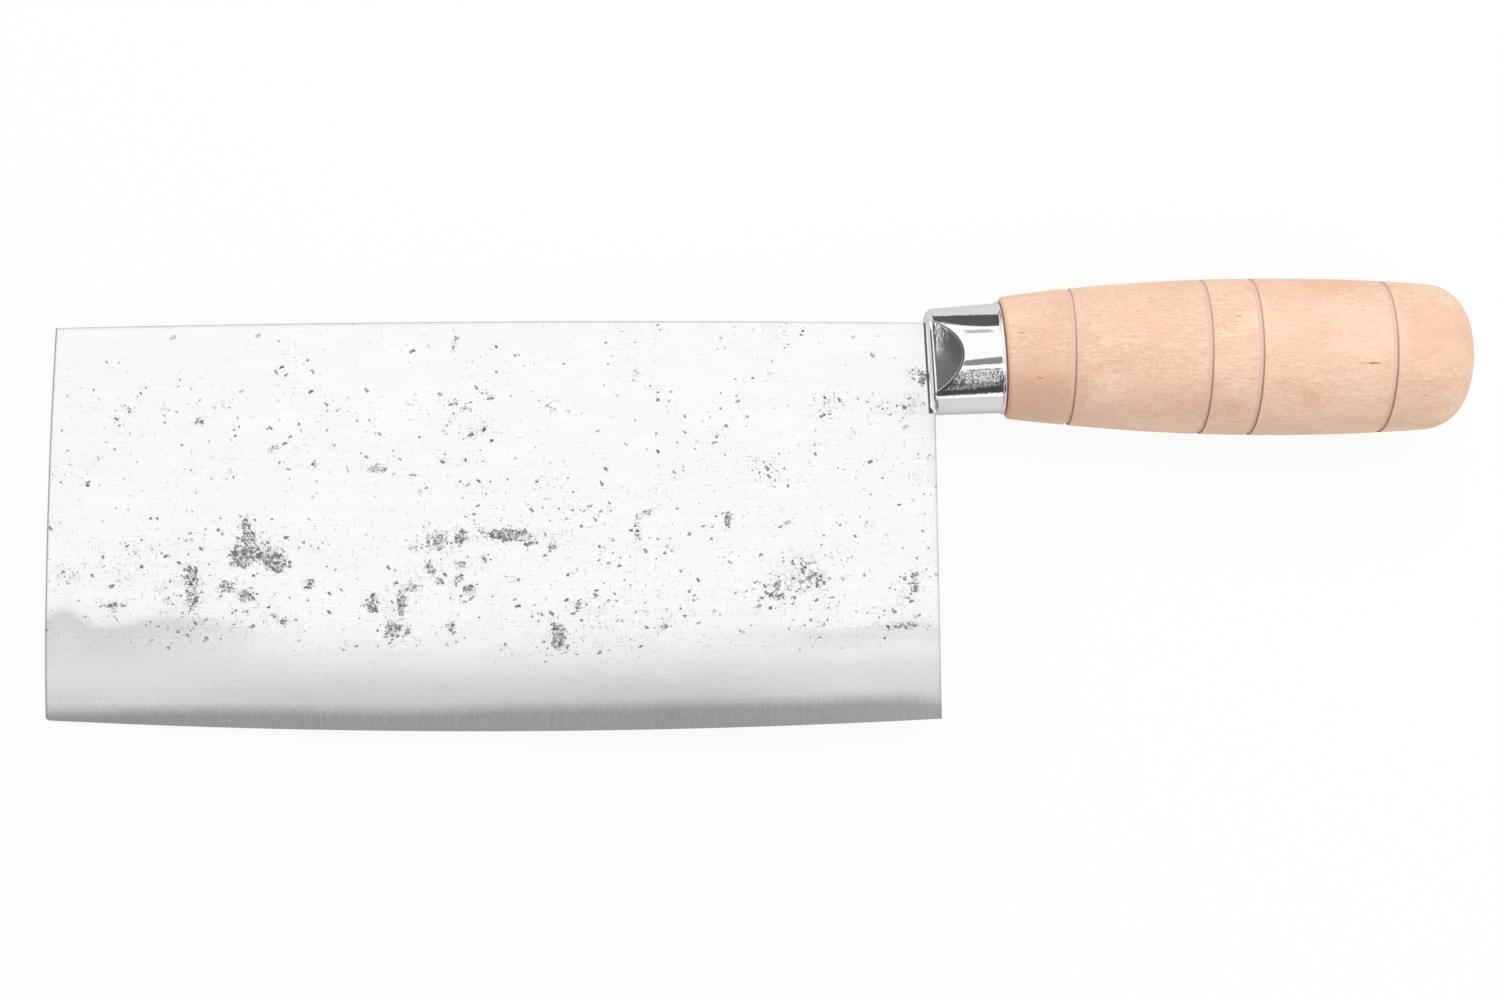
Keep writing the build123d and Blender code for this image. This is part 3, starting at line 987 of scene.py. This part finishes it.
def slot_contact_shadow(shader, place):
    """The painted contact shadow where the blade enters the ferrule, from 0 to 1."""
    parts = shader.parts(place)
    rise = shader.math("ADD", parts["Y"], shoulder_drop)
    run = shader.math("SUBTRACT", parts["X"], shoulder_place + ferrule_front / cos(ferrule_tilt))
    beyond = shader.times(rise, tan(ferrule_tilt), run)
    contact_shadow = shader.spread(beyond, -contact_shadow_reach, -contact_shadow_full_share * contact_shadow_reach)
    beside = shader.spread(rise, -ferrule_rear_radius - contact_shadow_reach, -ferrule_rear_radius)
    return shader.times(contact_shadow, beside)


core_fade = (-1.9, 2.3)  # below and above the core's line, where the core turns into cladding
core_raggedness = 0.9


def blade_base(shader, place, lines):
    """The steel's colour: its tone as ground with the bevel's painted reflection, darker where the
    core comes out, and a painted shade at the rim.
    """
    ragged = shader.noise(place, (0.9, 2.0, 1.0), 3.0)
    above = shader.times(ragged, core_raggedness, shader.value("above_core"))
    by_core = shader.spread(above, *core_fade)
    # The tone: the satin finish with the bevel's painted reflection
    cladding = shader.mix(1.0, shader.value("tone"), steel_colour, "MULTIPLY")
    base = shader.mix(by_core, shader.value("core_tone"), cladding)

    # Brushed lines, a cloudy polish, and a coarser grain towards the edge
    grain = shader.noise(place, (2.08, 1.6, 1.6), 3.0, 0.0, 0.85)
    clouds = shader.noise(place, (0.07, 0.16, 0.1), 3.0, 0.6)
    line_shade = shader.from_noise(lines, 0.955, 1.03)
    coarse = shader.spread(shader.value("bevel"), 0.15, 1.15, 0.52, 0.17)
    grain_shade = shader.times(shader.math("SUBTRACT", grain, 0.5), coarse, 1.0)
    cloud_shade = shader.from_noise(clouds, 0.975, 1.012)
    shade = shader.times(shader.times(line_shade, grain_shade), cloud_shade)
    base = shader.mix(1.0, base, shade, "MULTIPLY")
    # Painted shade along the blade's rounded outline
    return shader.mix(shader.value("rim_shade"), base, rim_shade_colour)


def make_cladding_steel():
    """Bright steel with fine brushed lines, satin on the bevel, with flecks of forge scale."""
    material, shader = new_material("cladding_steel")
    own_place = shader.place()
    shift = shader.times(shader.value("far_side"), far_side_shift)
    shift = shader.node("ShaderNodeCombineXYZ", {0: shift})[0]
    place = shader.vector("ADD", own_place, shift)[0]
    lines = brushed_lines(shader, place)
    base = blade_base(shader, place, lines)
    marks = scale_marks(shader, place)
    mark_tone = shader.spread(shader.noise(place, 1.1, 3.0, 0.0, 0.7), 0.36, 0.64)
    mark_colour = shader.mix(mark_tone, *scale_colours)
    base = shader.mix(marks, base, mark_colour)
    # Painted contact shadow where the blade enters the ferrule
    base = shader.mix(slot_contact_shadow(shader, own_place), base, contact_shadow_colour)

    rough = shader.spread(shader.value("bevel"), 0.7, 1.1, *cladding_roughness)
    rough = shader.times(lines, line_roughness, rough)
    rough = shader.times(marks, scale_roughness, rough)
    height = shader.times(lines, 0.3, shader.times(marks, -1.0))
    normal = shader.bump(height, cladding_depth)
    shader.finish(Base_Color=base, Metallic=1.0, Roughness=rough, Normal=normal)
    return material


def make_core_steel():
    """Darker carbon steel, ground with fine streaks square to the edge."""
    material, shader = new_material("core_steel")
    place = shader.place()
    streaks = shader.noise(place, (1.9, 0.22, 1.0), 4.0, 0.0, 0.7)
    base = blade_base(shader, place, brushed_lines(shader, place))
    shade = shader.from_noise(streaks, 0.88, 1.12)
    base = shader.mix(1.0, base, shade, "MULTIPLY")
    rough = shader.from_noise(streaks, *core_roughness)
    normal = shader.bump(streaks, core_depth)
    shader.finish(Base_Color=base, Metallic=1.0, Roughness=rough, Normal=normal)
    return material


# The painted dark reflections in the folds by the ferrule's pressed flats
ease_reach = 4.2  # how far the flats' easing by the spine fades, either side of the middle
fold_range = (0.07, 0.19)  # how far under the bare wall or flat it is full, and where it ends
fold_reflection_strength = 0.95
front_reflection_place = 0.8  # behind the ferrule's front
front_reflection_range = (0.12, 0.26)  # how far from its place it is full, and where it ends
front_reflection_strength = 0.9
front_reflection_middle = -0.8
front_reflection_ends = (9.2, 7.4)  # how far from its middle it ends, and where it is full


def flat_crease(shader, place):
    """Painted dark reflections in the folds by the pressed flats: at the ferrule's wall and by its
    front.
    """
    start = (shoulder_place, -shoulder_drop, 0)
    own = shader.local(place, start, (1, 1, 1), (0, 0, ferrule_tilt))
    parts = shader.parts(own)
    radius = shader.length(shader.vector("MULTIPLY", own, (0, 1, 1))[0])
    wall = shader.times(parts["X"], taper, ferrule_rear_radius - taper * ferrule_rear)
    below_wall = shader.math("SUBTRACT", wall, radius)

    slope = tan(side_flat_angle)
    height = shader.times(parts["X"], slope, flat_end_height - slope * flat_end)
    ease = shader.spread(parts["X"], flat_end, ferrule_front, 0.0, 1.0, "LINEAR")
    full_ease = side_flat_ease * side_flat_length / 2
    by_spine = shader.spread(parts["Y"], -ease_reach, ease_reach, 0.0, full_ease)
    height = shader.times(shader.times(ease, ease), by_spine, height)
    side = shader.times(shader.math("ABSOLUTE", parts["Z"]), cos(side_flat_roll))
    side = shader.times(parts["Y"], sin(side_flat_roll), side)
    below_flat = shader.math("SUBTRACT", height, side)
    away = shader.math("MAXIMUM", below_wall, below_flat)
    crease = shader.spread(away, *fold_range, fold_reflection_strength, 0.0)

    # The painted dark reflection along the front round
    from_line = shader.math("SUBTRACT", parts["X"], ferrule_front + front_reflection_place)
    from_line = shader.math("ABSOLUTE", from_line)
    line = shader.spread(from_line, *front_reflection_range, front_reflection_strength, 0.0)
    from_middle = shader.math("ABSOLUTE", shader.math("SUBTRACT", parts["Y"], front_reflection_middle))
    line = shader.times(line, shader.spread(from_middle, *front_reflection_ends))
    return shader.math("MAXIMUM", crease, line)


# Where the press has left the ferrule uneven: how strongly, and along which axes, from where
# to where it grows. First behind the flats on the edge's side, then at the flats' front by the
# spine, then above the flats.
uneven_everywhere = 0.06
uneven_places = (
    (0.24, ("X", -1.0, 2.5), ("Y", -2.0, -4.5)),
    (0.18, ("X", 2.0, 0.0), ("Y", 2.5, 5.0)),
    (0.22, ("Y", 6.0, 8.0), ("Y", 10.4, 9.4)),
)


def make_ferrule_steel():
    """Polished pressed steel, pebbled by the press on its sides, with fine scratches and painted
    dark reflections in the folds by its flats.
    """
    material, shader = new_material("ferrule_steel")
    place = shader.place()
    parts = shader.parts(place)
    uneven = uneven_everywhere
    for strength, *ranges in uneven_places:
        for axis, start, end in ranges:
            strength = shader.times(shader.spread(parts[axis], start, end), strength)
        uneven = shader.math("ADD", strength, uneven)
    pebbles = shader.noise(place, 1.3, 2.0, 0.3)
    scratches = shader.noise(place, (0.8, 6.0, 6.0), 3.0)
    tone = shader.from_noise(scratches, 0.0, 1.0)
    base = shader.mix(tone, *ferrule_colours)
    # Painted dark reflections in the folds by the flats and along the front
    base = shader.mix(flat_crease(shader, place), base, fold_reflection_colour)
    rough = shader.from_noise(scratches, *ferrule_roughness)
    coarse = shader.bump(pebbles, pebble_depth, uneven)
    normal = shader.bump(scratches, scratch_depth, 0.4, coarse)
    shader.finish(Base_Color=base, Metallic=1.0, Roughness=rough, Normal=normal)
    return material


# Darker places in the maple: the middle, the three half-widths and the strength. The first, low on
# the front section by the ferrule, is painted shade; the others are blotches in the wood.
wood_blotches_and_shade = (
    ((22.0, -10.0, 11.0), (14.0, 11.0, 14.0), 0.55),
    ((21.0, 5.0, 14.5), (5.0, 9.0, 8.0), 0.08),
    ((62.0, -12.0, 12.0), (10.0, 6.0, 9.0), 0.20),
    ((118.0, 6.0, 14.0), (12.0, 9.0, 14.0), 0.20),
)

# Small marks in the maple: the place on the surface, the half-length, the half-width and the
# strength
wood_marks = (
    ((101.5, -2.6, 18.6), 2.6, 0.32, 0.85),
    ((99.0, -2.5, 18.6), 3.4, 0.40, 0.35),
    ((114.2, -10.1, 15.0), 0.50, 0.40, 0.60),
    ((22.3, -5.9, 14.7), 1.0, 0.28, 0.75),
    ((17.9, 5.0, 14.5), 0.9, 0.40, 0.40),
    ((69.4, 8.7, 16.9), 1.6, 0.30, 0.45),
    ((69.4, -16.3, 9.9), 2.4, 0.25, 0.50),
    ((45.9, 10.1, 14.9), 1.3, 0.25, 0.45),
    ((85.0, 13.5, 12.0), 1.2, 0.50, 0.30),
)
shade_line_fade = (12.0, -12.0)  # the height where the grooves' painted shade line is weakest, and strongest


def maple_grain(shader, place, fibres, flecks):
    """The maple's colour before its marks: fibres and flecks, a soft figure, a blush and pores."""
    figure = shader.noise(place, (0.05, 0.09, 0.09), 3.0, 0.8)
    tone = shader.times(fibres, 0.45, shader.times(flecks, 0.70))
    tone = shader.spread(shader.times(figure, 0.35, tone), 0.63, 0.87, 0.0, 1.0, "LINEAR")
    base = shader.mix(tone, *maple_colours)
    blush = shader.noise(place, (0.04, 0.07, 0.07), 2.0, 0.5)
    base = shader.mix(shader.spread(blush, 0.45, 0.7, 0.0, 0.35), base, maple_blush_colour)
    pores = shader.noise(place, (0.5, 4.5, 4.5), 2.0, 0.3)
    return shader.mix(shader.spread(pores, 0.66, 0.80, 0.0, 0.30), base, maple_pore_colour)


def make_maple():
    """Pale maple: short fibres along the handle, soft blotches, a painted shade low on its front,
    grooves and a few marks.
    """
    material, shader = new_material("maple")
    place = shader.place()
    fibres = shader.noise(place, (0.38, 1.7, 1.7), 4.0, 0.5, 0.62)
    flecks = shader.noise(place, (1.1, 2.2, 2.2), 4.0, 0.6, 0.9)
    base = maple_grain(shader, place, fibres, flecks)
    # Blotches in the wood, and the painted shade low on the front section
    for centre, reach, strength in wood_blotches_and_shade:
        away = shader.length(shader.local(place, centre, reach))
        share = shader.spread(away, 0.35, 1.25, strength, 0.0)
        base = shader.mix(share, base, maple_blotch_and_shade_colour)

    # Grooves: a paler band, partly burnished and partly painted light, and a brown line of painted
    # shade along the side towards the butt
    base = shader.mix(shader.value("groove_burnish_and_light"), base, groove_burnish_and_light_colour)
    fade = shader.spread(shader.parts(place)["Y"], *shade_line_fade, 0.4)
    line = shader.times(shader.value("groove_shade_line"), fade)
    base = shader.mix(line, base, groove_shade_line_colour)

    for centre, half_length, half_width, strength in wood_marks:
        away = shader.length(shader.local(place, centre, (half_length, half_width, half_width)))
        ragged = shader.times(shader.math("SUBTRACT", flecks, 0.5), 1.2, away)
        base = shader.mix(shader.spread(ragged, 1.0, 0.3, 0.0, strength), base, maple_mark_colour)

    shader.finish(
        Base_Color=base,
        Roughness=shader.from_noise(fibres, *maple_roughness),
        Normal=shader.bump(fibres, fibre_depth),
        IOR=1.45,
        Sheen_Weight=0.12,
        Sheen_Roughness=0.5,
        Sheen_Tint=maple_sheen_colour,
    )
    return material


def make_resin():
    """Dark setting resin with a cast, pitted surface."""
    material, shader = new_material("resin")
    place = shader.place()
    cloud = shader.noise(place, 0.5, 3.0)
    base = shader.mix(cloud, *resin_colours)
    rough = shader.from_noise(cloud, *resin_roughness)
    normal = shader.bump(shader.noise(place, 2.0, 3.0), pit_depth)
    shader.finish(Base_Color=base, Roughness=rough, Normal=normal)
    return material


# The set: a white floor, soft lamps, a white surround and a few grey cards. The cards are
# what the polished ferrule mirrors, and they show in reflections alone.
floor_size = 16.0
shadow_share = 0.09  # how much of the floor's look is its lit surface, and so its shadow
shadow_fade = (0.35, 0.80)  # how far from the knife, in metres, that share falls to nothing
mirrored_shadow_share = 0.8  # the same where metal mirrors the floor
floor_colour = (0.9, 0.9, 0.9, 1.0)
mirrored_floor_shade_colour = (0.6, 0.585, 0.59, 1.0)
white = (1.0, 1.0, 1.0, 1.0)
surround_light = 0.56
lamp_places = (
    # name, place over the knife in metres, size, power
    ("key_lamp", (0.10, 0.70, 1.10), 0.9, 8.9),
    ("fill_lamp", (0.70, -0.40, 0.90), 1.0, 2.8),
)
photo_width = 1500
photo_focal_length = 2350  # in pixels
photo_scale = 0.2455  # millimetres to a pixel in the blade's plane
photo_middle = (-47.1, -35.0)  # what the middle of the photograph shows
sensor_width = 36.0
nearest_seen = 0.01  # in metres


def seen_white(shader):
    """1 for what the camera, mirrors and glass see, 0 for what lights the object."""
    path = shader.node("ShaderNodeLightPath")
    seen = shader.math("MAXIMUM", path["Is Camera Ray"], path["Is Glossy Ray"])
    return shader.math("MAXIMUM", seen, path["Is Transmission Ray"])


def build_floor():
    """A white floor that keeps a soft shadow, with a painted shade where metal mirrors it."""
    half = floor_size / 2
    corners = [(-half, -half, 0), (half, -half, 0), (half, half, 0), (-half, half, 0)]
    mesh = bpy.data.meshes.new("floor")
    mesh.from_pydata(corners, [], [(0, 1, 2, 3)])
    floor = add_object("floor", mesh)
    material, shader = new_material("white_floor")
    # Where metal mirrors the floor, its colour is greyer: a painted shade
    mirrored = shader.node("ShaderNodeLightPath")["Is Glossy Ray"]
    pale = shader.mix(mirrored, floor_colour, mirrored_floor_shade_colour)
    matt = shader.node("ShaderNodeBsdfDiffuse", {"Color": pale})[0]
    away = shader.length(shader.node("ShaderNodeTexCoord")["Object"])
    near_share = shader.spread(away, *shadow_fade, shadow_share, 0.0)
    lit_share = shader.spread(mirrored, 0.0, 1.0, near_share, mirrored_shadow_share, "LINEAR")
    share = shader.times(seen_white(shader), shader.math("SUBTRACT", 1.0, lit_share))
    surface = shader.node("ShaderNodeMixShader", {0: share, 1: matt, 2: shader.glow(white)})
    shader.node("ShaderNodeOutputMaterial", {"Surface": surface[0]})
    mesh.materials.append(material)


def build_surround():
    """A white world: full white where it is seen, softer where it lights."""
    world = bpy.data.worlds.new("surround")
    world.use_nodes = True
    bpy.context.scene.world = world
    shader = Shader(world.node_tree)
    strength = shader.spread(seen_white(shader), 0.0, 1.0, surround_light, 1.0, "LINEAR")
    inputs = {"Color": white, "Strength": strength}
    background = shader.node("ShaderNodeBackground", inputs)[0]
    shader.node("ShaderNodeOutputWorld", {"Surface": background})


def look_at(place, target, up):
    """The matrix of a lamp or camera at a place that looks at a target."""
    back = (place - target).normalized()
    side = up.cross(back).normalized()
    turn = Matrix((side, back.cross(side), back)).transposed()
    return Matrix.Translation(place) @ turn.to_4x4()


def build_lamps():
    """Soft lamps, which light the object but don't show in the metal."""
    target = in_frame(*photo_middle)
    for name, place, size, power in lamp_places:
        data = bpy.data.lights.new(name, "AREA")
        data.shape = "SQUARE"
        data.size = size
        data.energy = power
        lamp = add_object(name, data)
        lamp.matrix_world = look_at(target + Vector(place), target, Vector((0, 1, 0)))
        lamp.visible_glossy = False


def build_camera():
    """The camera, square to the blade as in the photograph."""
    data = bpy.data.cameras.new("camera")
    data.sensor_width = sensor_width
    data.lens = photo_focal_length / photo_width * sensor_width
    data.clip_start = nearest_seen
    camera = add_object("camera", data)
    place = in_frame(*photo_middle, photo_focal_length * photo_scale)
    camera.matrix_world = look_at(place, in_frame(*photo_middle), Vector((0, 1, 0)))
    bpy.context.scene.camera = camera


# Grey cards that the polished ferrule mirrors. Each stands square to one of the knife's axes
# at a distance. Its colour follows, and last its outline in the other two axes.
cards = (
    ("card_spine", "Y", 49, (0.1, 0.095, 0.095),
     ((-10, -16), (18, 5), (18, 30), (9, 27), (3, 20), (-2, 9), (-10, -4))),
    ("card_brush", "Y", 49, (0.5, 0.49, 0.49), ((4, 33), (11, 36), (12, 45), (5, 42))),
    ("card_edge_low", "Y", -300, (0.06, 0.06, 0.06),
     ((-600, 20), (30, 46), (51, 60), (200, 66), (200, 190), (49, 180), (34, 129), (-600, 240))),
    ("card_edge_left", "Y", -300, (0.05, 0.05, 0.05),
     ((-60, 108), (30, 129), (41, 210), (42, 290), (42, 400), (46, 560), (22, 578), (-60, 300))),
    ("card_edge_right", "Y", -300, (0.05, 0.05, 0.05),
     ((50, 178), (120, 178), (120, 560), (61, 560), (60, 506), (56, 369), (52, 275), (49, 205))),
    ("card_edge_line", "Y", -300, (0.15, 0.15, 0.15), ((38, 600), (85, 600), (85, 655), (38, 655))),
    ("card_window", "Y", -302, (0.45, 0.45, 0.45), ((30, 125), (52, 180), (50, 235), (40, 235))),
    ("card_over", "Z", 60, (0.27, 0.25, 0.25), ((6, -5), (17, 0), (18, -14), (6, -15.5))),
    ("card_line", "Z", 60, (0.2, 0.2, 0.2), ((7, -25.5), (18, -23.8), (18, -25.6), (7, -27.3))),
    ("card_tip", "X", -1200, (0.17, 0.17, 0.165),
     ((-440, 600), (215, 600), (215, 1030), (-440, 1060))),
    ("card_tip_spine", "X", -1200, (0.09, 0.09, 0.09),
     ((215, 600), (440, 600), (440, 1030), (215, 1030))),
    ("card_wedge", "Y", -1200, (0.05, 0.05, 0.05),
     ((-904, 975), (-212, 791), (-212, 1306), (-904, 1611))),
)


def build_cards():
    """Cards that only the metal's reflections see."""
    for name, axis, distance, colour, outline in cards:
        points = [list(corner) for corner in outline]
        for point in points:
            point.insert("XYZ".index(axis), distance)
        card = new_object(name, points, [tuple(range(len(points)))], KNIFE)
        material, shader = new_material(name)
        shader.node("ShaderNodeOutputMaterial", {"Surface": shader.glow(colour + (1.0,))})
        card.data.materials.append(material)
        card.visible_camera = False
        card.visible_diffuse = False
        card.visible_transmission = False
        card.visible_shadow = False


build_camera()
build_surround()
build_floor()
build_lamps()
build_cards()
build_blade(make_core_steel(), make_cladding_steel())
build_ferrule(make_ferrule_steel())
build_handle(make_maple())
resin_node = frame["nodes"]["tang_resin"]
resin_node.data.materials.clear()
resin_node.data.materials.append(make_resin())
bpy.context.scene.view_settings.view_transform = "Standard"
